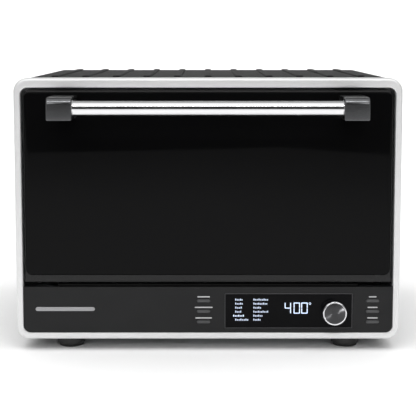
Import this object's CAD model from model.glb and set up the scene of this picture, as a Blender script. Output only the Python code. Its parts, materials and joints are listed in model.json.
"""Studio scene of a countertop convection oven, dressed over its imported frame.

Everything is in metres: +X to the right seen from the front, +Y to the back, +Z up.
"""

import json
import logging
import math
from dataclasses import dataclass
from enum import Enum

import bmesh
import bpy
from mathutils import Matrix, Vector


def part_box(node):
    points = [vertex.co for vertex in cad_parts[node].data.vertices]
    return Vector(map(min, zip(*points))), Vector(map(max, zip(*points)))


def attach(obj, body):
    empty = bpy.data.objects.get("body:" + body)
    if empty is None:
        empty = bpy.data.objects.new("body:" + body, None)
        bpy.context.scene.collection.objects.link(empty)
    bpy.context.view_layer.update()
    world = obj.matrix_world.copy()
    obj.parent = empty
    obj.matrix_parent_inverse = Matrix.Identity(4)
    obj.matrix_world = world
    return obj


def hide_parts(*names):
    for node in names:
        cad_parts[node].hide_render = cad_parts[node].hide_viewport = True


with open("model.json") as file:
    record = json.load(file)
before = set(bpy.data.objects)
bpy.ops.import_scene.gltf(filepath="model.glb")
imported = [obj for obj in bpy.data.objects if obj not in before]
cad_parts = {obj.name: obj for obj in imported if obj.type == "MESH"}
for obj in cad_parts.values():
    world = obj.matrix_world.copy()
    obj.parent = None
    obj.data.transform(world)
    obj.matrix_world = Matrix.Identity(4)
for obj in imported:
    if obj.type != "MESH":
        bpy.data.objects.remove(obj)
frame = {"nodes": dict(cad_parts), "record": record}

LOG = logging.getLogger("oven_scene")
MM = 0.001
HAIR = 0.01 * MM
Colour = tuple[float, float, float]
Point = tuple[float, float, float]


# ------------------------------------------------------------------ finishes
class Grain(Enum):
    """How a surface was worked, which sets the pattern of its colour, gloss and relief."""

    MOULDED = "fine spark-eroded mould texture"
    POWDER = "baked powder coat with a soft orange peel"
    BRUSHED = "straight brushing along X"
    SHEET = "rolled sheet with faint clouds and rolling lines"
    POLISHED = "polished, with a trace of handling"
    GLASS = "float glass"
    SPUN = "turned face, brushed round its middle"
    FIRED = "heat-tinted metal or fired clay"
    BOARD = "laminate with a woven core"


@dataclass(frozen=True)
class Finish:
    """A surface finish, made once as a material.

    Attributes:
        name: The material's name.
        colour: Linear base colour.
        roughness: Mean roughness.
        metallic: How much of a metal it is, 0 to 1.
        grain: The way it was worked.
        pitch: Size of the grain, in metres.
        relief: Height of the grain, in metres.
        mottle: Share by which its colour varies.
        gloss_spread: How far its roughness varies.
        coat: Weight of a clear coat.
        specular: Specular level, 0.5 for common plastics.
        clear: Transmission weight.
        ior: Index of refraction.
        glow: Strength of its own light.
        drawn_out: Anisotropy, for spun faces.
    """

    name: str
    colour: Colour
    roughness: float
    metallic: float = 0.0
    grain: Grain = Grain.MOULDED
    pitch: float = 0.0006
    relief: float = 0.00001
    mottle: float = 0.08
    gloss_spread: float = 0.06
    coat: float = 0.0
    specular: float = 0.5
    clear: float = 0.0
    ior: float = 1.5
    glow: float = 0.0
    drawn_out: float = 0.0

    @property
    def label(self) -> str:
        """The material's name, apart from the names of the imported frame's own."""
        return f"finish_{self.name}"

    def material(self) -> bpy.types.Material:
        """Returns this finish's material, made on first use."""
        made = bpy.data.materials.get(self.label)
        return made if made else FinishBuilder(self).build()


POLAR_MAP = "polar"
QUARTER_TURN = 0.25
PAPER_SET = "paper"
DIAL_SET = "dial"

# Scale of the grain's coordinates along each axis. Below 1 it is drawn out that way.
EVEN: Point = (1, 1, 1)
STRETCH: dict[Grain, Point] = {
    Grain.BRUSHED: (0.012, 1, 1),
    Grain.SHEET: (1, 0.15, 1),
    Grain.SPUN: (0.02, 1, 1),
}


class FinishBuilder:
    """Lays out the nodes of one finish.

    Attributes:
        noise_band: The part of a noise's range that is used.
        noise_roughness: Weight of a noise's finer octaves.
        cloud: Size of the clouds in the colour, in grain pitches.
        coat_roughness: Roughness of a clear coat.
        least_roughness: The smoothest that any spot becomes.
    """

    noise_band: tuple[float, float] = (0.3, 0.7)
    noise_roughness: float = 0.55
    cloud: float = 60
    coat_roughness: float = 0.06
    least_roughness: float = 0.02

    def __init__(self, finish: Finish) -> None:
        """Starts an empty material.

        Args:
            finish: The finish to build.
        """
        self.finish = finish
        self.made = bpy.data.materials.new(finish.label)
        self.made.use_nodes = True
        self.tree = self.made.node_tree
        self.shader = self.tree.nodes["Principled BSDF"]

    def node(self, kind: str, **inputs: object) -> bpy.types.Node:
        """Adds a node and sets its inputs.

        Args:
            kind: The node's type, without its ShaderNode prefix.
            **inputs: Input values, with underscores for spaces in the names.

        Returns:
            The node.
        """
        added = self.tree.nodes.new("ShaderNode" + kind)
        for name, value in inputs.items():
            added.inputs[name.replace("_", " ")].default_value = value
        return added

    def link(self, source: bpy.types.NodeSocket, target: bpy.types.NodeSocket) -> None:
        """Links two sockets."""
        self.tree.links.new(source, target)

    def place(self, stretch: Point) -> bpy.types.NodeSocket:
        """Places a pattern by Object coordinates, or by the polar map on a spun face.

        Args:
            stretch: Scale along each axis.

        Returns:
            The scaled coordinates.
        """
        coordinates = self.node("TexCoord")
        mapping = self.node("Mapping", Scale=stretch)
        source = "UV" if self.finish.grain is Grain.SPUN else "Object"
        self.link(coordinates.outputs[source], mapping.inputs["Vector"])
        return mapping.outputs["Vector"]

    def noise(self, size: float, stretch: Point = EVEN, detail: float = 3) -> bpy.types.NodeSocket:
        """Makes noise.

        Args:
            size: Size of its features, in metres.
            stretch: Scale of its coordinates along each axis.
            detail: Number of octaves.

        Returns:
            The noise, mostly within the band that spread uses.
        """
        made = self.node("TexNoise", Scale=1 / size, Detail=detail, Roughness=self.noise_roughness)
        self.link(self.place(stretch), made.inputs["Vector"])
        return made.outputs["Fac"]

    def spread(self, fac: bpy.types.NodeSocket, low: float, high: float) -> bpy.types.NodeSocket:
        """Spreads a noise's middle band over a range.

        Args:
            fac: The noise.
            low: The value at the band's low end.
            high: The value at its high end.

        Returns:
            The spread value.
        """
        ranged = self.node("MapRange")
        start, end = self.noise_band
        for name, value in (("From Min", start), ("From Max", end), ("To Min", low), ("To Max", high)):
            ranged.inputs[name].default_value = value
        self.link(fac, ranged.inputs["Value"])
        return ranged.outputs["Result"]

    def tint(self, fac: bpy.types.NodeSocket, low: Colour, high: Colour) -> bpy.types.NodeSocket:
        """Blends two colours.

        Args:
            fac: Share of the second.
            low: The first.
            high: The second.

        Returns:
            The blend.
        """
        mix = self.node("Mix")
        mix.data_type = "RGBA"
        colour_a, colour_b = [s for s in mix.inputs if s.type == "RGBA"]
        colour_a.default_value = (*low, 1)
        colour_b.default_value = (*high, 1)
        self.link(fac, mix.inputs[0])
        return next(s for s in mix.outputs if s.type == "RGBA")

    def build(self) -> bpy.types.Material:
        """Lays out the whole finish.

        Returns:
            The finished material.
        """
        f = self.finish
        sockets = self.shader.inputs
        sockets["Metallic"].default_value = f.metallic
        sockets["Specular IOR Level"].default_value = f.specular
        sockets["IOR"].default_value = f.ior
        sockets["Transmission Weight"].default_value = f.clear
        sockets["Coat Weight"].default_value = f.coat
        sockets["Coat Roughness"].default_value = self.coat_roughness
        if f.drawn_out:
            sockets["Anisotropic"].default_value = f.drawn_out
            sockets["Anisotropic Rotation"].default_value = QUARTER_TURN
            tangent = self.node("Tangent")
            tangent.direction_type = "UV_MAP"
            tangent.uv_map = POLAR_MAP
            self.link(tangent.outputs["Tangent"], sockets["Tangent"])
        if f.glow:
            sockets["Emission Color"].default_value = (*f.colour, 1)
            sockets["Emission Strength"].default_value = f.glow
        fine = self.noise(f.pitch, STRETCH.get(f.grain, EVEN))
        cloud = self.noise(f.pitch * self.cloud, detail=2)
        low = tuple(max(c * (1 - f.mottle), 0) for c in f.colour)
        high = tuple(min(c * (1 + f.mottle), 1) for c in f.colour)
        source = fine if f.grain in (Grain.BRUSHED, Grain.BOARD) else cloud
        self.link(self.tint(self.spread(source, 0, 1), low, high), sockets["Base Color"])
        rough_low = max(f.roughness - f.gloss_spread, self.least_roughness)
        rough_high = min(f.roughness + f.gloss_spread, 1)
        rough_source = cloud if f.grain in (Grain.POLISHED, Grain.GLASS) else fine
        self.link(self.spread(rough_source, rough_low, rough_high), sockets["Roughness"])
        if f.relief:
            bump = self.node("Bump", Strength=1.0, Distance=f.relief)
            self.link(fine, bump.inputs["Height"])
            self.link(bump.outputs["Normal"], sockets["Normal"])
        return self.made


SATIN_SILVER = Finish("satin_silver", (0.77, 0.77, 0.773), 0.36, 0.35, Grain.BRUSHED, 0.0004, 0.000004, 0.05)
CHARCOAL_SKIN = Finish("charcoal_skin", (0.018, 0.018, 0.0187), 0.66, 0.0, Grain.POWDER, 0.0009, 0.00003,
                       specular=0.06)
GALVANISED = Finish("galvanised", (0.5, 0.51, 0.52), 0.38, 0.9, Grain.SHEET, 0.002, 0.000006, 0.12)
CAVITY_STEEL = Finish("cavity_steel", (0.33, 0.33, 0.33), 0.36, 0.85, Grain.SHEET, 0.0012, 0.000008, 0.1)
ZINC = Finish("zinc", (0.6, 0.61, 0.62), 0.3, 0.95, Grain.POLISHED, 0.0005, 0.000004)
FOOT_RUBBER = Finish("foot_rubber", (0.022, 0.022, 0.022), 0.62, 0.0, Grain.MOULDED, 0.0005, 0.00003)
SPACER = Finish("spacer_plastic", (0.02, 0.02, 0.021), 0.5, 0.0, Grain.MOULDED, 0.0005, 0.00002)
SILICONE = Finish("seal_silicone", (0.03, 0.03, 0.03), 0.55, 0.0, Grain.MOULDED, 0.0006, 0.00001)
SHEATH = Finish("heater_sheath", (0.11, 0.1, 0.095), 0.42, 0.7, Grain.FIRED, 0.0006, 0.00001, 0.3)
STEATITE = Finish("insulator", (0.74, 0.71, 0.65), 0.6, 0.0, Grain.FIRED, 0.0004, 0.00001)
FAN_ALLOY = Finish("fan_alloy", (0.62, 0.62, 0.62), 0.35, 0.95, Grain.SHEET, 0.001, 0.000006)
MOTOR_STACK = Finish("motor_stack", (0.16, 0.16, 0.165), 0.45, 0.6, Grain.SHEET, 0.0006, 0.00002, 0.2)
LENS = Finish("lamp_glass", (0.95, 0.95, 0.93), 0.08, 0.0, Grain.GLASS, 0.002, 0.0, 0.02, 0.03, clear=1.0)
BULB = Finish("bulb_glass", (1.0, 0.93, 0.8), 0.3, 0.0, Grain.GLASS, 0.002, 0.0, 0.02, 0.05, clear=0.6)
LAMP_CUP = Finish("lamp_cup", (0.65, 0.65, 0.65), 0.28, 0.95, Grain.POLISHED, 0.0005, 0.000004)
PROBE = Finish("probe_steel", (0.55, 0.55, 0.55), 0.28, 1.0, Grain.POLISHED, 0.0005, 0.000003)
PHENOLIC = Finish("cutout_body", (0.11, 0.06, 0.035), 0.45, 0.0, Grain.MOULDED, 0.0004, 0.00001)
PANEL = Finish("panel_plastic", (0.0135, 0.0137, 0.0142), 0.45, 0.0, Grain.MOULDED, 0.00045, 0.000012,
               specular=0.2)
WINDOW_BLACK = Finish("window_black", (0.003, 0.003, 0.0034), 0.08, 0.0, Grain.GLASS, 0.003, 0.0, 0.05, 0.02,
                      specular=0.06)
DISPLAY_BODY = Finish("display_body", (0.03, 0.03, 0.03), 0.5)
BOARD = Finish("board_green", (0.012, 0.085, 0.035), 0.35, 0.0, Grain.BOARD, 0.0009, 0.000008, 0.2)
SWITCH = Finish("switch_black", (0.02, 0.02, 0.02), 0.45)
BUTTON = Finish("button_plastic", (0.055, 0.056, 0.058), 0.36, 0.0, Grain.MOULDED, 0.0003, 0.000006)
KNOB_CHROME = Finish("knob_chrome", (0.78, 0.78, 0.8), 0.12, 1.0, Grain.POLISHED, 0.0004, 0.000002)
KNOB_BLACK = Finish("knob_black", (0.06, 0.06, 0.062), 0.2, 1.0, Grain.SPUN, 0.02, 0.0000008, 0.15,
                    drawn_out=0.92)
PLATE = Finish("plate_grey", (0.36, 0.36, 0.37), 0.35, 0.8, Grain.BRUSHED, 0.0003, 0.000003)
HOUSINGS = Finish("parts_black", (0.025, 0.026, 0.03), 0.4)
RIBBON = Finish("ribbon_grey", (0.34, 0.34, 0.35), 0.5, 0.0, Grain.MOULDED, 0.0012, 0.00002, 0.1)
DOOR_BLACK = Finish("door_black", (0.003, 0.003, 0.0032), 0.2, 0.0, Grain.MOULDED, 0.0004, 0.000006,
                    specular=0.35)
DOOR_GLASS = Finish("door_glass", (0.003, 0.003, 0.0032), 0.05, 0.0, Grain.GLASS, 0.004, 0.0, 0.05, 0.015,
                    specular=0.08)
CLEAR_GLASS = Finish("clear_glass", (0.9, 0.92, 0.92), 0.04, 0.0, Grain.GLASS, 0.004, 0.0, 0.02, 0.02,
                     clear=0.9)
LINER = Finish("liner_steel", (0.3, 0.3, 0.3), 0.36, 0.85, Grain.SHEET, 0.001, 0.000008, 0.1)
HANDLE_CHROME = Finish("handle_chrome", (0.8, 0.8, 0.81), 0.12, 1.0, Grain.POLISHED, 0.0004, 0.000001,
                       0.02, 0.03)
GUNMETAL = Finish("gunmetal", (0.12, 0.122, 0.126), 0.24, 0.95, Grain.POWDER, 0.0003, 0.000006)
HINGE = Finish("hinge_steel", (0.5, 0.5, 0.51), 0.32, 0.95, Grain.SHEET, 0.0008, 0.000006)
RACK_WIRE = Finish("rack_wire", (0.68, 0.68, 0.69), 0.16, 1.0, Grain.POLISHED, 0.0005, 0.000003)
PAN_COAT = Finish("pan_coating", (0.022, 0.022, 0.023), 0.38, 0.2, Grain.POWDER, 0.0006, 0.00001)
BASKET = Finish("basket_steel", (0.56, 0.56, 0.56), 0.26, 1.0, Grain.SHEET, 0.0008, 0.000004)
PAPER = Finish("studio_paper", (0.9, 0.9, 0.9), 0.85, 0.0, Grain.MOULDED, 0.01, 0.0, 0.01, specular=0.1)
PRINT = Finish("panel_print", (0.5, 0.5, 0.51), 0.5, 0.0, Grain.MOULDED, 0.0003, 0.000002, 0.06)
BORDER = Finish("window_border", (0.045, 0.045, 0.048), 0.4, 0.0, Grain.MOULDED, 0.0003, 0.000002, 0.06)
LIT = Finish("lit_segments", (0.66, 0.76, 0.95), 0.4, 0.0, Grain.MOULDED, 0.0004, 0.0, 0.04, glow=0.45)
DIM = Finish("lit_marks", (0.62, 0.7, 0.88), 0.4, 0.0, Grain.MOULDED, 0.0004, 0.0, 0.04, glow=0.25)
RECESS = Finish("screw_recess", (0.03, 0.03, 0.03), 0.5, 0.5, Grain.MOULDED, 0.0004, 0.000002)
GRIP_RUBBER = Finish("foot_tread", (0.016, 0.016, 0.016), 0.75, 0.0, Grain.MOULDED, 0.0004, 0.00002)
DARK_ENAMEL = Finish("dark_enamel", (0.003, 0.003, 0.003), 0.5, 0.0, Grain.POWDER, 0.0006, 0.000006, 0.2,
                     specular=0.1)

SLOT_FINISHES: dict[str, Finish] = {
    "satin_silver": SATIN_SILVER, "charcoal_skin": CHARCOAL_SKIN, "galvanised": GALVANISED,
    "cavity_steel": CAVITY_STEEL, "zinc_screw": ZINC, "foot_rubber": FOOT_RUBBER,
    "spacer_plastic": SPACER, "seal_silicone": SILICONE, "heater_sheath": SHEATH,
    "insulator": STEATITE, "fan_aluminium": FAN_ALLOY, "motor_steel": MOTOR_STACK,
    "lamp_glass": LENS, "bulb_glass": BULB, "lamp_metal": LAMP_CUP, "probe_steel": PROBE,
    "cutout_body": PHENOLIC, "panel_plastic": PANEL, "window_black": WINDOW_BLACK,
    "display_body": DISPLAY_BODY, "board_green": BOARD, "switch_black": SWITCH,
    "button_plastic": BUTTON, "encoder_steel": ZINC, "knob_chrome": KNOB_CHROME,
    "knob_black": KNOB_BLACK, "plate_grey": PLATE, "parts_black": HOUSINGS,
    "ribbon_grey": RIBBON, "door_black": DOOR_BLACK, "door_glass": DOOR_GLASS,
    "clear_glass": CLEAR_GLASS, "liner_steel": LINER, "handle_chrome": HANDLE_CHROME,
    "gunmetal": GUNMETAL, "hinge_steel": HINGE, "rack_chrome": RACK_WIRE,
    "pan_coating": PAN_COAT, "basket_steel": BASKET,
}

# Nodes whose finish differs from their slot's.
OWN_FINISHES: dict[str, Finish] = {"crumb_tray": DARK_ENAMEL}


def dress_frame() -> None:
    """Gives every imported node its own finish, or that of its material slot."""
    slots = {part["node"]: part["material_slot"] for part in frame["record"]["subparts"]}
    for name, node in frame["nodes"].items():
        node.data.materials.clear()
        finish = OWN_FINISHES.get(name, SLOT_FINISHES[slots[name]])
        node.data.materials.append(finish.material())
        LOG.info("dressed %s in %s", name, slots[name])


# ------------------------------------------------------------------ workshop
Span = tuple[Vector, Vector]


def span(node: str) -> Span:
    """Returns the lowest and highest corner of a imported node, in metres."""
    low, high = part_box(node)
    return Vector(low), Vector(high)


def solids(node: str) -> list[Span]:
    """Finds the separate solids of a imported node.

    Args:
        node: The node's name.

    Returns:
        The lowest and highest corner of each, from left to right, then front to back.
    """
    mesh = bmesh.new()
    mesh.from_mesh(frame["nodes"][node].data)
    bmesh.ops.remove_doubles(mesh, verts=list(mesh.verts), dist=HAIR)
    left = set(mesh.verts)
    found: list[Span] = []
    while left:
        queue = [left.pop()]
        group = []
        while queue:
            vert = queue.pop()
            group.append(vert.co.copy())
            for edge in vert.link_edges:
                other = edge.other_vert(vert)
                if other in left:
                    left.discard(other)
                    queue.append(other)
        low = Vector(min(point[axis] for point in group) for axis in range(3))
        high = Vector(max(point[axis] for point in group) for axis in range(3))
        found.append((low, high))
    mesh.free()
    return sorted(found, key=lambda item: (round(item[0].x, 3), round(item[0].y, 3), item[0].z))


@dataclass(frozen=True)
class Ring:
    """A rounded rectangle, one section of a loft.

    Attributes:
        low: Its lower left corner across the loft.
        high: Its upper right corner.
        corner: Radius of its corners.
        at: Its place along the loft.
    """

    low: tuple[float, float]
    high: tuple[float, float]
    corner: float
    at: float

    def inset(self, inward: float, along: float) -> "Ring":
        """Makes the section that lies inward of this one and further along.

        Args:
            inward: How far its sides lie inside this one's.
            along: How far it lies along the loft from this one.

        Returns:
            The section.
        """
        low = (self.low[0] + inward, self.low[1] + inward)
        high = (self.high[0] - inward, self.high[1] - inward)
        return Ring(low, high, max(self.corner - inward, 10 * HAIR), self.at + along)


class Loft(Enum):
    """The way a loft runs, with the turn that takes it there from +Z."""

    BACKWARD = Matrix(((1, 0, 0), (0, 0, 1), (0, 1, 0)))
    UPWARD = Matrix.Identity(3)


class Stock:
    """Shapes as they come off the lathe, the press or the mill, each a new closed mesh."""

    @staticmethod
    def section(mesh: bmesh.types.BMesh, ring: Ring, steps: int) -> list[bmesh.types.BMEdge]:
        """Draws a rounded rectangle.

        Args:
            mesh: The mesh to draw in.
            ring: The section.
            steps: Steps round each corner.

        Returns:
            Its edges.
        """
        before = set(mesh.faces)
        verts = bmesh.ops.create_grid(mesh, x_segments=1, y_segments=1, size=0.5)["verts"]
        width, height = ring.high[0] - ring.low[0], ring.high[1] - ring.low[1]
        middle = Vector(((ring.high[0] + ring.low[0]) / 2, (ring.high[1] + ring.low[1]) / 2, ring.at))
        for vert in verts:
            vert.co = Vector((vert.co.x * width, vert.co.y * height, 0)) + middle
        corner = min(ring.corner, width / 2 - HAIR, height / 2 - HAIR)
        bmesh.ops.bevel(mesh, geom=verts, offset=corner, segments=steps, profile=0.5,
                        affect="VERTICES", material=-1, clamp_overlap=False)
        face = next(iter(set(mesh.faces) - before))
        edges = list(face.edges)
        mesh.faces.remove(face)
        return edges

    @staticmethod
    def loft(rings: list[Ring], way: Loft, steps: int = 8, closed: bool = False) -> bmesh.types.BMesh:
        """Joins sections into a solid.

        Args:
            rings: The sections in order.
            way: The way the loft runs.
            steps: Steps round each corner.
            closed: Whether the last section joins the first, as round an opening.

        Returns:
            The closed mesh.
        """
        mesh = bmesh.new()
        drawn = [Stock.section(mesh, ring, steps) for ring in rings]
        pairs = list(zip(drawn, drawn[1:]))
        if closed:
            pairs.append((drawn[-1], drawn[0]))
        else:
            for ends in (drawn[0], drawn[-1]):
                bmesh.ops.contextual_create(mesh, geom=ends)
        for first, second in pairs:
            bmesh.ops.bridge_loops(mesh, edges=first + second)
        bmesh.ops.transform(mesh, matrix=way.value.to_4x4(), verts=list(mesh.verts))
        bmesh.ops.recalc_face_normals(mesh, faces=list(mesh.faces))
        return mesh

    @staticmethod
    def eased(ring: Ring, depth: float, front: float, back: float = 0.0, steps: int = 4) -> list[Ring]:
        """Sections of a plate whose edges are rounded.

        Args:
            ring: Its outline, at the near face.
            depth: Its thickness.
            front: Radius of the near edge.
            back: Radius of the far edge.
            steps: Steps round each edge.

        Returns:
            The sections from near to far.
        """
        quarter = [step / steps * math.pi / 2 for step in range(steps + 1)]
        near = [ring.inset(front * (1 - math.sin(turn)), front * (1 - math.cos(turn))) for turn in quarter]
        if not back:
            return near + [ring.inset(0, depth)]
        far = [ring.inset(back * (1 - math.cos(turn)), depth - back * (1 - math.sin(turn)))
               for turn in quarter]
        return near + far

    @staticmethod
    def block(low: Vector, high: Vector, rounding: float = 0.0, steps: int = 2) -> bmesh.types.BMesh:
        """Mills a block.

        Args:
            low: Its lowest corner.
            high: Its highest corner.
            rounding: Radius of its edges.
            steps: Steps round each edge.

        Returns:
            The closed mesh.
        """
        mesh = bmesh.new()
        verts = bmesh.ops.create_cube(mesh, size=1)["verts"]
        bmesh.ops.scale(mesh, vec=high - low, verts=verts)
        bmesh.ops.translate(mesh, vec=(high + low) / 2, verts=verts)
        if rounding:
            bmesh.ops.bevel(mesh, geom=list(mesh.edges), offset=rounding, segments=steps, profile=0.5,
                            affect="EDGES", material=-1, clamp_overlap=True)
        return mesh

    @staticmethod
    def turned(profile: list[tuple[float, float]], start: Vector, way: Vector,
               steps: int = 64) -> bmesh.types.BMesh:
        """Turns a profile on the lathe.

        Args:
            profile: Radius and place along the axis of each point, from end to end.
            start: Where the axis starts.
            way: The axis.
            steps: Steps round it.

        Returns:
            The closed mesh.
        """
        mesh = bmesh.new()
        points = [mesh.verts.new((radius, 0, along)) for radius, along in profile]
        for first, second in zip(points, points[1:]):
            mesh.edges.new((first, second))
        bmesh.ops.spin(mesh, geom=list(mesh.verts) + list(mesh.edges), axis=(0, 0, 1), cent=(0, 0, 0),
                       dvec=(0, 0, 0), angle=math.tau, steps=steps, use_merge=True)
        bmesh.ops.remove_doubles(mesh, verts=list(mesh.verts), dist=HAIR / 10)
        turn = Vector((0, 0, 1)).rotation_difference(way).to_matrix().to_4x4()
        bmesh.ops.transform(mesh, matrix=Matrix.Translation(start) @ turn, verts=list(mesh.verts))
        bmesh.ops.recalc_face_normals(mesh, faces=list(mesh.faces))
        return mesh


class Piece:
    """One visible piece while it is put together."""

    def __init__(self, name: str, body: str, slot: str, *finishes: Finish) -> None:
        """Starts a piece.

        Args:
            name: Its name.
            body: The body it moves with.
            slot: The record's material slot of its main finish.
            *finishes: Its finishes, by number.
        """
        self.name = name
        self.body = body
        self.slot = slot
        self.finishes = finishes
        self.mesh = bmesh.new()

    def add(self, part: bmesh.types.BMesh, paint: int = 0) -> "Piece":
        """Joins a part to the piece.

        Args:
            part: The part, which is used up.
            paint: Number of its finish.

        Returns:
            The piece.
        """
        for face in part.faces:
            face.material_index = paint
        stage = bpy.data.meshes.new("part")
        part.to_mesh(stage)
        part.free()
        self.mesh.from_mesh(stage)
        bpy.data.meshes.remove(stage)
        return self

    def done(self, *stands_for: str, crease_deg: float = 32) -> bpy.types.Object:
        """Finishes the piece.

        Args:
            *stands_for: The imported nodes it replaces.
            crease_deg: The angle above which an edge is crisp.

        Returns:
            Its object.
        """
        data = bpy.data.meshes.new(self.name)
        self.mesh.to_mesh(data)
        self.mesh.free()
        data.shade_smooth()
        data.set_sharp_from_angle(angle=math.radians(crease_deg))
        for finish in self.finishes:
            data.materials.append(finish.material())
        made = bpy.data.objects.new(self.name, data)
        bpy.context.scene.collection.objects.link(made)
        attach(made, self.body)
        if stands_for:
            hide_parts(*stands_for)
        LOG.info("made %s", self.name)
        return made


# ------------------------------------------------------------------ casing
@dataclass
class Casing:
    """Bezel, feet and the rear's fasteners and vents.

    Attributes:
        side: Width of the bezel's sides.
        top: Height of its top.
        bottom: Height of its bottom.
        corner: Radius of its outer corners.
        mouth_corner: Radius of its mouth's corners.
        outer_round: Rounding of its outer edge.
        inner_round: Rounding of its mouth's edge.
        foot_groove: Height of the groove round each foot.
        foot_tread: Height at which a foot's body starts, over its softer tread.
        foot_ease: Rounding of a foot's edges.
        foot_flare: Share of a foot's height at which it reaches its full width.
        foot_groove_at: Share of its height at which its groove starts.
    """

    side: float = 8.2 * MM
    top: float = 11.6 * MM
    bottom: float = 8.0 * MM
    corner: float = 17.0 * MM
    mouth_corner: float = 9.0 * MM
    outer_round: float = 3.6 * MM
    inner_round: float = 1.2 * MM
    foot_groove: float = 1.2 * MM
    foot_tread: float = 3.0 * MM
    foot_ease: float = 1.2 * MM
    foot_flare: float = 0.62
    foot_groove_at: float = 0.72

    def build(self) -> None:
        """Makes the casing's pieces."""
        self.bezel()
        self.feet()
        self.rear_screws()

    def bezel(self) -> None:
        """Makes the silver ring round the door and panel."""
        low, high = span("front_bezel")
        rim = Ring((low.x, low.z), (high.x, high.z), self.corner, low.y)
        mouth = Ring((low.x + self.side, low.z + self.bottom), (high.x - self.side, high.z - self.top),
                     self.mouth_corner, low.y)
        depth = high.y - low.y
        rings = list(reversed(Stock.eased(rim, depth, self.outer_round, steps=8)))
        steps = 4
        for step in range(steps + 1):
            turn = step / steps * math.pi / 2
            rings.append(mouth.inset(-self.inner_round * (1 - math.sin(turn)),
                                     self.inner_round * (1 - math.cos(turn))))
        rings.append(mouth.inset(0, depth))
        ring = Stock.loft(rings, Loft.BACKWARD, steps=12, closed=True)
        Piece("bezel_ring", "casing", "satin_silver", SATIN_SILVER).add(ring).done("front_bezel")

    def feet(self) -> None:
        """Makes the four moulded feet, each with a groove and a softer tread."""
        piece = Piece("rubber_feet", "casing", "foot_rubber", FOOT_RUBBER, GRIP_RUBBER)
        for low, high in solids("feet"):
            radius = (high.x - low.x) / 2
            middle = Vector(((low.x + high.x) / 2, (low.y + high.y) / 2, low.z))
            height = high.z - low.z
            tread, soft = self.foot_tread, self.foot_ease
            groove_low = height * self.foot_groove_at
            groove_high = groove_low + self.foot_groove
            body = [(0, tread), (radius - 2 * soft, tread), (radius - soft, tread + soft / 2),
                    (radius - soft / 2, tread + soft), (radius, height * self.foot_flare),
                    (radius, groove_low), (radius - soft / 2, groove_low), (radius - soft / 2, groove_high),
                    (radius, groove_high), (radius, height), (0, height)]
            sole = [(0, 0), (radius - 3 * soft, 0), (radius - 2.4 * soft, soft / 3),
                    (radius - 2.2 * soft, tread + soft), (0, tread + soft)]
            piece.add(Stock.turned(body, middle, Vector((0, 0, 1))))
            piece.add(Stock.turned(sole, middle, Vector((0, 0, 1))), 1)
        piece.done("feet")

    def rear_screws(self) -> None:
        """Makes the pan-head screws that hold the rear panel and wrapper."""
        piece = Piece("pan_head_screws", "casing", "zinc_screw", ZINC, RECESS)
        for low, high in solids("case_screws"):
            Fastener(low, high).add_to(piece)
        piece.done("case_screws")


@dataclass
class Fastener:
    """A pan-head screw with a cross recess, its head to the rear.

    Attributes:
        low: Lowest corner of its solid.
        high: Highest corner of its solid.
        head: Height of its head.
        shank: Share of the head's radius that its shank has.
        crown: Points of the head's outline, as shares of its radius and of its height.
        recess_arm: Half the recess's length, as a share of the head's radius.
        recess_half: Half its width, as a share of the head's radius.
        dimple: How far the head's middle lies below its top.
    """

    low: Vector
    high: Vector
    head: float = 2.0 * MM
    shank: float = 0.5
    crown: tuple[tuple[float, float], ...] = ((1, 0), (1, 0.45), (0.9, 0.75), (0.62, 0.93))
    recess_arm: float = 0.55
    recess_half: float = 0.13
    dimple: float = 0.05 * MM

    def add_to(self, piece: Piece) -> None:
        """Adds the screw to a piece.

        Args:
            piece: The piece, whose second finish is that of the recess.
        """
        radius = (self.high.x - self.low.x) / 2
        middle = Vector(((self.low.x + self.high.x) / 2, self.low.y, (self.low.z + self.high.z) / 2))
        length = self.high.y - self.low.y
        under = length - self.head
        profile = [(0, 0), (radius * self.shank, 0), (radius * self.shank, under),
                   *((radius * out, under + self.head * up) for out, up in self.crown),
                   (0, length - self.dimple)]
        piece.add(Stock.turned(profile, middle, Vector((0, 1, 0)), 28))
        arm, half = radius * self.recess_arm, radius * self.recess_half
        for size in (Vector((arm, 0, half)), Vector((half, 0, arm))):
            centre = middle + Vector((0, length, 0))
            piece.add(Stock.block(centre - size - Vector((0, self.head / 2, 0)), centre + size), 1)


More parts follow.
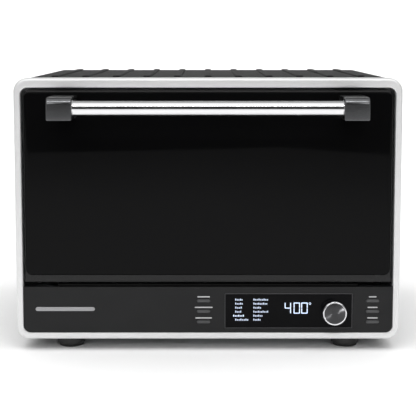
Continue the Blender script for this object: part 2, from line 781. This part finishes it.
# ------------------------------------------------------------------ door
@dataclass
class Door:
    """The door's frame, glass, handle and hinge ends.

    Attributes:
        corner: Radius of the door's corners.
        rim: Width of the frame beside and above the glass.
        glass_edge: Rounding of the glass's edge.
        glass_back: Rounding of its back edge.
        bar_ease: Rounding of the bar's ends.
        collar: Length of the collar where the bar enters a bracket.
        collar_wall: Thickness of its wall.
        collar_sink: How far it reaches into the bracket.
        bracket_ease: Rounding of a bracket's sides.
        bracket_corner: Radius of its upper front corner, seen from the side.
        bracket_chin: Radius of its lower front corner.
    """

    corner: float = 7.0 * MM
    rim: float = 3.6 * MM
    glass_edge: float = 0.9 * MM
    glass_back: float = 0.3 * MM
    bar_ease: float = 0.8 * MM
    collar: float = 2.4 * MM
    collar_wall: float = 1.4 * MM
    collar_sink: float = 0.5 * MM
    bracket_ease: float = 1.8 * MM
    bracket_corner: float = 8.5 * MM
    bracket_chin: float = 1.6 * MM

    def build(self) -> None:
        """Makes the door's pieces."""
        self.glass()
        self.bar()
        self.brackets()

    def glass(self) -> None:
        """Makes the dark front glass with its ground edge."""
        low, high = span("door_glass")
        outline = Ring((low.x, low.z), (high.x, high.z), self.corner - self.rim / 2, low.y)
        rings = Stock.eased(outline, high.y - low.y, self.glass_edge, self.glass_back)
        pane = Stock.loft(rings, Loft.BACKWARD)
        Piece("front_glass", "door", "door_glass", DOOR_GLASS).add(pane).done("door_glass")

    def bar(self) -> None:
        """Makes the polished bar with a collar at each end."""
        low, high = span("handle_bar")
        radius = (high.z - low.z) / 2
        start = Vector((low.x, (low.y + high.y) / 2, (low.z + high.z) / 2))
        length = high.x - low.x
        ease = self.bar_ease
        profile = [(0, 0), (radius - ease, 0), (radius, ease), (radius, length - ease),
                   (radius - ease, length), (0, length)]
        piece = Piece("polished_bar", "door", "handle_chrome", HANDLE_CHROME)
        piece.add(Stock.turned(profile, start, Vector((1, 0, 0)), 72))
        piece.done("handle_bar")

    def brackets(self) -> None:
        """Makes the two dark brackets that carry the bar, each with a collar round it."""
        bar_low, bar_high = span("handle_bar")
        axis_y, axis_z = (bar_low.y + bar_high.y) / 2, (bar_low.z + bar_high.z) / 2
        bore = (bar_high.z - bar_low.z) / 2
        piece = Piece("handle_posts", "door", "gunmetal", GUNMETAL, HANDLE_CHROME)
        for low, high in solids("handle_brackets"):
            mesh = Stock.block(low, high)
            for height, radius in ((high.z, self.bracket_corner), (low.z, self.bracket_chin)):
                front = [edge for edge in mesh.edges
                         if all(vert.co.y < low.y + HAIR and abs(vert.co.z - height) < HAIR
                                for vert in edge.verts)]
                bmesh.ops.bevel(mesh, geom=front, offset=radius, segments=14, profile=0.5, affect="EDGES",
                                material=-1, clamp_overlap=True)
            rims = [edge for edge in mesh.edges
                    if edge.calc_face_angle(0) > math.radians(80)
                    and abs(edge.verts[0].co.x - edge.verts[1].co.x) < HAIR
                    and min(vert.co.y for vert in edge.verts) < high.y - 10 * HAIR]
            bmesh.ops.bevel(mesh, geom=rims, offset=self.bracket_ease, segments=5, profile=0.5,
                            affect="EDGES", material=-1, clamp_overlap=True)
            bmesh.ops.recalc_face_normals(mesh, faces=list(mesh.faces))
            piece.add(mesh)
            inner = low.x if low.x > 0 else high.x
            way = Vector((-1 if low.x > 0 else 1, 0, 0))
            outer, sink = bore + self.collar_wall, self.collar_sink
            ring = [(bore, -self.collar), (outer, -self.collar), (outer, sink / 5),
                    (outer - sink, sink), (bore, sink), (bore, -self.collar)]
            piece.add(Stock.turned(ring, Vector((inner, axis_y, axis_z)), way, 56), 1)
        piece.done("handle_brackets")


# ------------------------------------------------------------------ controls
@dataclass
class ControlFace:
    """Dial, buttons, display and printed marks.

    Attributes:
        dial_ring: Width of the dial's bright ring.
        dial_sink: How far its face lies behind the ring.
        dial_ease: Rounding of its edges.
        dial_wall: Thickness of its wall.
        groove_lip: Depth of its side's groove where it starts and ends.
        groove_depth: Depth of the groove at its middle.
        groove_steps: Where the groove starts, is deepest from and to, and ends, behind the dial's front.
        grip_cuts: Number of fine cuts round its side.
        button_crown: Rounding of a button's face.
        button_flange: How far its skirt stands out.
        button_depth: Depth of its cap.
        skirt_at: Where its skirt starts, behind its face.
        skirt_depth: Depth of the skirt.
        skirt_ease: Rounding of the skirt.
        stem_at: Where its stem starts, behind its face.
        stem_radius: Radius of the stem.
        stem_ease: Bevel of the stem's end.
        mark_gap: From a button's top to its mark.
        mark_height: Height of a mark.
        print_rise: How far a printed or lit sign stands in front of its surface.
        print_depth: Depth of a mark.
        mark_lengths: The buttons, with the length of the mark over each.
    """

    dial_ring: float = 1.7 * MM
    dial_sink: float = 0.5 * MM
    dial_ease: float = 0.5 * MM
    dial_wall: float = 3.0 * MM
    groove_lip: float = 0.2 * MM
    groove_depth: float = 0.5 * MM
    groove_steps: tuple[float, ...] = (1.5 * MM, 1.8 * MM, 2.3 * MM, 2.6 * MM)
    grip_cuts: int = 60
    button_crown: float = 0.45 * MM
    button_flange: float = 1.5 * MM
    button_depth: float = 5.0 * MM
    skirt_at: float = 4.2 * MM
    skirt_depth: float = 1.0 * MM
    skirt_ease: float = 0.2 * MM
    stem_at: float = 5.1 * MM
    stem_radius: float = 1.8 * MM
    stem_ease: float = 0.3 * MM
    mark_gap: float = 3.1 * MM
    mark_height: float = 1.5 * MM
    print_rise: float = 0.03 * MM
    print_depth: float = 0.1 * MM
    mark_lengths: tuple[tuple[str, float], ...] = (
        ("function", 15.5 * MM), ("temperature", 22.0 * MM), ("time", 20.4 * MM),
        ("start", 9.4 * MM), ("cancel", 12.2 * MM), ("preset", 12.8 * MM),
    )

    def build(self) -> None:
        """Makes the controls."""
        self.dial()
        for name, _ in self.mark_lengths:
            self.button(name)
        self.marks()
        Display().build()

    def dial(self) -> None:
        """Makes the dial: a bright shell with cuts round its side and a dark spun face."""
        low, high = span("knob_body")
        radius = (high.x - low.x) / 2
        middle = Vector(((low.x + high.x) / 2, high.y, (low.z + high.z) / 2))
        deep = high.y - low.y
        ease, wall = self.dial_ease, self.dial_wall
        lip, cut = radius - self.groove_lip, radius - self.groove_depth
        starts, deep_from, deep_to, ends = (deep - step for step in self.groove_steps)
        rim = radius - self.dial_ring
        sunk = deep - self.dial_sink * 2
        profile = [(0, sunk), (rim, sunk), (rim, deep - ease / 2),
                   (rim + ease / 2, deep), (radius - ease * 1.6, deep), (radius - ease, deep - ease / 3),
                   (radius - ease / 3, deep - ease), (lip, starts), (cut, deep_from), (cut, deep_to),
                   (lip, ends), (radius, ease * 2), (radius - ease * 0.8, 0),
                   (radius - wall, 0), (radius - wall, deep - wall), (0, deep - wall)]
        shell = Stock.turned(profile, middle, Vector((0, -1, 0)), 2 * self.grip_cuts)
        Piece("dial_shell", "knob", "knob_chrome", KNOB_CHROME).add(shell).done("knob_body")
        flat = deep - self.dial_sink * 0.8
        face_profile = [(0, sunk), (rim, sunk), (rim, deep - self.dial_sink), (rim * 0.97, flat),
                        (rim * 0.5, flat), (0, flat)]
        face = Stock.turned(face_profile, middle, Vector((0, -1, 0)), 96)
        made = Piece("dial_face", "knob", "knob_black", KNOB_BLACK).add(face).done("knob_face")
        self.map_round(made, middle)
        gather(made, DIAL_SET)

    def map_round(self, made: bpy.types.Object, middle: Vector) -> None:
        """Gives a turned face its polar map.

        Args:
            made: The piece.
            middle: A point on its axis, which runs along Y.
        """
        layer = made.data.uv_layers.new(name=POLAR_MAP)
        for face in made.data.polygons:
            turns = []
            for corner in face.loop_indices:
                point = made.data.vertices[made.data.loops[corner].vertex_index].co - middle
                turns.append((corner, math.atan2(point.z, point.x) / math.tau % 1, point.length))
            high = max(turn for _, turn, _ in turns)
            for corner, turn, reach in turns:
                layer.data[corner].uv = (turn + 1 if high - turn > 0.5 else turn, reach)

    def button(self, name: str) -> None:
        """Makes a long button with a crowned face on its stem.

        Args:
            name: The button's name, as its node begins.
        """
        low, high = span(f"{name}_button")
        flange = self.button_flange
        pill = Ring((low.x + flange, low.z + flange), (high.x - flange, high.z - flange),
                    (high.z - low.z) / 2 - flange, low.y)
        skirt = Ring((low.x, low.z), (high.x, high.z), (high.z - low.z) / 2, low.y + self.skirt_at)
        piece = Piece(f"{name}_cap", f"{name}_button_key", "button_plastic", BUTTON)
        piece.add(Stock.loft(Stock.eased(pill, self.button_depth, self.button_crown), Loft.BACKWARD))
        piece.add(Stock.loft(Stock.eased(skirt, self.skirt_depth, self.skirt_ease), Loft.BACKWARD))
        middle = Vector(((low.x + high.x) / 2, low.y + self.stem_at, (low.z + high.z) / 2))
        stem, radius, ease = high.y - middle.y, self.stem_radius, self.stem_ease
        profile = [(0, 0), (radius, 0), (radius, stem - ease), (radius - ease, stem), (0, stem)]
        piece.add(Stock.turned(profile, middle, Vector((0, 1, 0)), 24))
        piece.done(f"{name}_button")

    def marks(self) -> None:
        """Prints a plain bar above each button."""
        face = span("control_panel")[0].y
        piece = Piece("panel_marks", "casing", "panel_plastic", PRINT)
        tall = self.mark_height / 2
        for name, length in self.mark_lengths:
            low, high = span(f"{name}_button")
            x, z = (low.x + high.x) / 2, high.z - self.button_flange + self.mark_gap
            half = length / 2
            bar = Ring((x - half, z - tall), (x + half, z + tall), tall, face - self.print_rise)
            piece.add(Stock.loft([bar, bar.inset(0, self.print_depth)], Loft.BACKWARD, 4))
        piece.done()


@dataclass
class Display:
    """The display's window, border line and lit signs.

    Attributes:
        corner: Radius of the window's corners.
        ease: Rounding of its front edge.
        border: Width of the line round it.
        border_inset: From the window's edge to the line.
        border_rise: How far the line stands in front of the window.
        border_depth: How far it reaches into it.
        sign_rise: How far a lit sign stands in front of the window.
        sign_depth: Depth of a sign.
        sign_round: Radius of a sign's corners, as a share of its smaller side.
        digit_width: Width of a digit.
        digit_height: Height of a digit.
        stroke: Width of a digit's stroke.
        segment_gap: Half the gap between two segments.
        row_pitch: Height from one row of dashes to the next.
        first_row: From the window's top to the first row.
        mark: Height of a tall dash.
        short_mark: Height of the others, as a share of it.
        tall_every: From one tall dash to the next, in dashes.
        dash_pitch: From one dash to the next.
        dash_gap: Gap between dashes.
        lead: Where the first column starts, from the window's left edge.
        chosen_row: Number of its brighter row, from 0.
        chosen_lead: Where that row starts.
        second_lead: Where the second column starts.
        first_column: Right ends of the first column's rows, in millimetres from the window's left edge.
        second_column: Those of the second column.
        foot: From the window's top to the digits' foot.
        digits: Left edge of each digit, in millimetres, and its lit segments.
        degree_left: Left edge of the degree ring.
        degree_size: Its size.
        degree_rise: How far it stands above the digits.
        degree_stroke: Width of its stroke.
    """

    corner: float = 1.1 * MM
    ease: float = 0.25 * MM
    border: float = 0.9 * MM
    border_inset: float = 0.3 * MM
    border_rise: float = 0.02 * MM
    border_depth: float = 0.1 * MM
    sign_rise: float = 0.03 * MM
    sign_depth: float = 0.08 * MM
    sign_round: float = 0.35
    digit_width: float = 8.0 * MM
    digit_height: float = 13.9 * MM
    stroke: float = 1.25 * MM
    segment_gap: float = 0.25 * MM
    row_pitch: float = 5.03 * MM
    first_row: float = 8.1 * MM
    mark: float = 2.6 * MM
    short_mark: float = 0.72
    tall_every: int = 3
    dash_pitch: float = 1.9 * MM
    dash_gap: float = 0.7 * MM
    lead: float = 13.4 * MM
    chosen_row: int = 4
    chosen_lead: float = 10.9 * MM
    second_lead: float = 35.7 * MM
    first_column: tuple[float, ...] = (22.3, 22.5, 21.4, 20.7, 24.1, 29.4)
    second_column: tuple[float, ...] = (53.6, 52.7, 45.0, 53.8, 46.9, 44.5)
    foot: float = 25.65 * MM
    digits: tuple[tuple[float, str], ...] = ((74.0, "bcfg"), (85.0, "abcdef"), (94.4, "abcdef"))
    degree_left: float = 103.6 * MM
    degree_size: float = 3.0 * MM
    degree_rise: float = 0.1 * MM
    degree_stroke: float = 0.7 * MM

    def build(self) -> None:
        """Makes the display."""
        low, high = span("display_window")
        outline = Ring((low.x, low.z), (high.x, high.z), self.corner, low.y)
        pane = Piece("display_pane", "casing", "window_black", WINDOW_BLACK, BORDER)
        pane.add(Stock.loft(Stock.eased(outline, high.y - low.y, self.ease), Loft.BACKWARD))
        outer, inner = self.border_inset, self.border_inset + self.border
        line = [outline.inset(outer, -self.border_rise), outline.inset(inner, -self.border_rise),
                outline.inset(inner, self.border_depth), outline.inset(outer, self.border_depth)]
        pane.add(Stock.loft(line, Loft.BACKWARD, closed=True), 1)
        pane.done("display_window")
        self.signs(low, high)

    def plate(self, piece: Piece, low: tuple[float, float], high: tuple[float, float], face: float,
              paint: int) -> None:
        """Adds a thin lit plate with rounded corners to a piece.

        Args:
            piece: The piece to add to.
            low: Its lower left corner.
            high: Its upper right corner.
            face: Y of the window's face.
            paint: Number of the finish.
        """
        rounding = min(high[0] - low[0], high[1] - low[1]) * self.sign_round
        bar = Ring(low, high, rounding, face - self.sign_rise)
        piece.add(Stock.loft([bar, bar.inset(0, self.sign_depth)], Loft.BACKWARD, 3), paint)

    def signs(self, low: Vector, high: Vector) -> None:
        """Lights the rows of dashes and the number.

        Args:
            low: The window's lowest corner.
            high: Its highest corner.
        """
        piece = Piece("display_signs", "casing", "window_black", LIT, DIM)
        first = high.z - self.first_row
        for row, (left_end, right_end) in enumerate(zip(self.first_column, self.second_column)):
            z = first - row * self.row_pitch
            chosen = row == self.chosen_row
            lead = self.chosen_lead if chosen else self.lead
            for start, end, paint in ((lead, left_end * MM, 0 if chosen else 1),
                                      (self.second_lead, right_end * MM, 1)):
                self.dashes(piece, low.x + start, low.x + end, z, low.y, paint)
        base = high.z - self.foot
        for start, segments in self.digits:
            self.digit(piece, low.x + start * MM, base, low.y, segments)
        left, size = low.x + self.degree_left, self.degree_size
        top = base + self.digit_height + self.degree_rise
        degree = Ring((left, top - size), (left + size, top), size / 2, low.y - self.sign_rise)
        hole = degree.inset(self.degree_stroke, 0)
        rings = [degree, hole, hole.inset(0, self.sign_depth), degree.inset(0, self.sign_depth)]
        piece.add(Stock.loft(rings, Loft.BACKWARD, 6, closed=True))
        piece.done()

    def dashes(self, piece: Piece, start: float, end: float, z: float, face: float, paint: int) -> None:
        """Adds a row of plain dashes, as wide as a word.

        Args:
            piece: The piece to add to.
            start: Its left end.
            end: Its right end.
            z: Its middle's height.
            face: Y of the window's face.
            paint: Number of the finish.
        """
        count = max(2, round((end - start) / self.dash_pitch))
        pitch = (end - start + self.dash_gap) / count
        for number in range(count):
            x = start + number * pitch
            tall = self.mark * (1.0 if number % self.tall_every == 0 else self.short_mark)
            low, high = (x, z - self.mark / 2), (x + pitch - self.dash_gap, z - self.mark / 2 + tall)
            self.plate(piece, low, high, face, paint)

    def digit(self, piece: Piece, x: float, z: float, face: float, segments: str) -> None:
        """Adds a seven-segment digit.

        Args:
            piece: The piece to add to.
            x: Its left edge.
            z: Its foot.
            face: Y of the window's face.
            segments: Letters of the segments that are lit, a at the top and then clockwise, g in the middle.
        """
        gap, right, top = self.segment_gap, x + self.digit_width, z + self.digit_height
        middle = (z + top) / 2
        stroke = self.stroke
        places = {
            "a": ((x + gap, top - stroke), (right - gap, top)),
            "d": ((x + gap, z), (right - gap, z + stroke)),
            "g": ((x + gap, middle - stroke / 2), (right - gap, middle + stroke / 2)),
            "b": ((right - stroke, middle + gap), (right, top - gap)),
            "c": ((right - stroke, z + gap), (right, middle - gap)),
            "f": ((x, middle + gap), (x + stroke, top - gap)),
            "e": ((x, z + gap), (x + stroke, middle - gap)),
        }
        for letter in segments:
            low, high = places[letter]
            self.plate(piece, low, high, face, 0)


# ------------------------------------------------------------------ studio
def gather(item: bpy.types.Object, name: str) -> None:
    """Puts an object in the set of that name, which a light can light alone."""
    members = bpy.data.collections.get(name) or bpy.data.collections.new(name)
    members.objects.link(item)


@dataclass(frozen=True)
class Softbox:
    """A rectangular area light behind a honeycomb.

    Attributes:
        name: The light's name.
        place: Its middle.
        aim: The point it faces.
        width: Across.
        height: Up.
        power: Watts.
        spread_deg: The whole angle that its honeycomb lets through.
        alone: Name of the set that it alone lights, or nothing for everything.
    """

    name: str
    place: Point
    aim: Point
    width: float
    height: float
    power: float
    spread_deg: float = 180.0
    alone: str = ""

    def build(self) -> None:
        """Adds the light to the scene."""
        data = bpy.data.lights.new(self.name, "AREA")
        data.shape = "RECTANGLE"
        data.size = self.width
        data.size_y = self.height
        data.energy = self.power
        data.spread = math.radians(self.spread_deg)
        lamp = bpy.data.objects.new(self.name, data)
        if self.alone:
            lamp.visible_glossy = self.alone != PAPER_SET
            lamp.light_linking.receiver_collection = bpy.data.collections[self.alone]
        lamp.location = self.place
        direction = Vector(self.aim) - Vector(self.place)
        lamp.rotation_euler = direction.to_track_quat("-Z", "Y").to_euler()
        bpy.context.scene.collection.objects.link(lamp)


@dataclass
class Studio:
    """Floor, sweep, soft light and camera.

    Attributes:
        tilt_deg: How far the camera looks down.
        camera_place: The camera's place.
        focal_widths: Focal length in frame widths.
        shift: Vertical lens shift in frame widths.
        sensor_mm: Width of the camera's sensor.
        floor_half: Half the width of the floor.
        wall_y: Where the sweep has become a wall.
        wall_height: Its height.
        sweep_radius: Radius of the bend between them.
        room: Radiance of the room.
        dark_side: Radiance of the unlit end of the room, behind the camera.
        canopy: Radiance of the white canopy above it.
        front_fade: Y of a direction where the dark end stops and where the room is at full strength.
        behind_fade: Y of a direction where the canopy stops and where the room is at full strength.
        height_fade: Z of a direction where the canopy starts and where it has taken over.
        boxes: The lamps.
    """

    tilt_deg: float = 5.59
    camera_place: Point = (0.0, -1.494, 0.385)
    focal_widths: float = 2.666
    shift: float = -0.15
    sensor_mm: float = 36.0
    floor_half: float = 5.0
    wall_y: float = 3.2
    wall_height: float = 3.0
    sweep_radius: float = 0.9
    room: float = 0.3
    dark_side: float = 0.02
    canopy: float = 1.1
    front_fade: tuple[float, float] = (-0.8, -0.45)
    behind_fade: tuple[float, float] = (0.1, 0.4)
    height_fade: tuple[float, float] = (0.5, 0.62)
    boxes: tuple[Softbox, ...] = (
        Softbox("key_left", (-1.0, -2.3, 1.15), (0, -0.16, 0.24), 0.9, 0.8, 0.42, 36),
        Softbox("key_right", (1.0, -2.3, 1.15), (0, -0.16, 0.24), 0.9, 0.8, 0.42, 36),
        Softbox("strip", (0.0, -1.35, 1.72), (0, -0.2, 0.3), 1.7, 0.14, 4.5, 120),
        Softbox("kicker", (1.43, -0.92, 0.28), (0.15, -0.17, 0.06), 0.2, 0.2, 22, 40, DIAL_SET),
        Softbox("overhead", (0.0, 0.1, 2.2), (0, 0.25, 0.0), 3.4, 2.2, 36, 180, PAPER_SET),
        Softbox("wash", (0.0, 1.6, 2.6), (0, 3.0, 0.5), 3.6, 1.0, 26, 120, PAPER_SET),
    )

    def build(self) -> None:
        """Makes the whole studio."""
        self.sweep()
        for box in self.boxes:
            box.build()
        self.room_light()
        self.camera()
        bpy.context.scene.view_settings.view_transform = "Standard"
        LOG.info("studio ready")

    def sweep(self) -> None:
        """Lays the pale floor, which bends up into a wall at the back."""
        mesh = bmesh.new()
        near = mesh.verts.new((0, -self.floor_half, 0))
        bend = mesh.verts.new((0, self.wall_y - self.sweep_radius, 0))
        mesh.edges.new((near, bend))
        turned = bmesh.ops.spin(mesh, geom=[bend], axis=(1, 0, 0), cent=(0, bend.co.y, self.sweep_radius),
                                dvec=(0, 0, 0), angle=math.pi / 2, steps=24, use_merge=False)
        top = next(item for item in turned["geom_last"] if isinstance(item, bmesh.types.BMVert))
        raised = bmesh.ops.extrude_vert_indiv(mesh, verts=[top])["verts"]
        raised[0].co.z = self.wall_height
        wide = bmesh.ops.extrude_edge_only(mesh, edges=list(mesh.edges))
        moved = [item for item in wide["geom"] if isinstance(item, bmesh.types.BMVert)]
        for vert in mesh.verts:
            vert.co.x = -self.floor_half
        for vert in moved:
            vert.co.x = self.floor_half
        bmesh.ops.recalc_face_normals(mesh, faces=list(mesh.faces))
        data = bpy.data.meshes.new("sweep")
        mesh.to_mesh(data)
        mesh.free()
        data.shade_smooth()
        data.materials.append(PAPER.material())
        sweep = bpy.data.objects.new("sweep", data)
        bpy.context.scene.collection.objects.link(sweep)
        gather(sweep, PAPER_SET)

    def room_light(self) -> None:
        """Gives the room its own faint light, with one end left dark."""
        world = bpy.data.worlds.new("room")
        world.use_nodes = True
        tree = world.node_tree
        shade = tree.nodes["Background"]
        way = tree.nodes.new("ShaderNodeTexCoord")
        split = tree.nodes.new("ShaderNodeSeparateXYZ")
        tree.links.new(way.outputs["Generated"], split.inputs["Vector"])
        front = self.fade(tree, split.outputs["Y"], *self.front_fade, self.dark_side, self.room)
        behind = self.fade(tree, split.outputs["Y"], *self.behind_fade, self.canopy, self.room)
        height = self.fade(tree, split.outputs["Z"], *self.height_fade, 0, 1)
        mix = tree.nodes.new("ShaderNodeMix")
        tree.links.new(height, mix.inputs[0])
        tree.links.new(front, mix.inputs[2])
        tree.links.new(behind, mix.inputs[3])
        tree.links.new(mix.outputs[0], shade.inputs["Color"])
        bpy.context.scene.world = world

    def fade(self, tree: bpy.types.NodeTree, source: bpy.types.NodeSocket, start: float, end: float,
             low: float, high: float) -> bpy.types.NodeSocket:
        """Turns a direction's part into a smooth step.

        Args:
            tree: The world's nodes.
            source: The part of the direction.
            start: Where the step starts.
            end: Where it ends.
            low: The value before it.
            high: The value after it.

        Returns:
            The step's socket.
        """
        step = tree.nodes.new("ShaderNodeMapRange")
        step.interpolation_type = "SMOOTHSTEP"
        for name, value in (("From Min", start), ("From Max", end), ("To Min", low), ("To Max", high)):
            step.inputs[name].default_value = value
        tree.links.new(source, step.inputs["Value"])
        return step.outputs["Result"]

    def camera(self) -> None:
        """Sets the camera at the viewing angle."""
        data = bpy.data.cameras.new("camera")
        data.sensor_width = self.sensor_mm
        data.lens = self.sensor_mm * self.focal_widths
        data.shift_y = self.shift
        camera = bpy.data.objects.new("camera", data)
        camera.location = self.camera_place
        camera.rotation_euler = (math.radians(90 - self.tilt_deg), 0, 0)
        bpy.context.scene.collection.objects.link(camera)
        bpy.context.scene.camera = camera


def main() -> None:
    """Builds the oven's looks and the studio."""
    logging.basicConfig(level=logging.INFO, format="%(name)s: %(message)s")
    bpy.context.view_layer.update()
    dress_frame()
    for assembly in (Casing(), Door(), ControlFace(), Studio()):
        assembly.build()
        LOG.info("%s is ready", type(assembly).__name__)


if __name__ == "__main__":
    main()
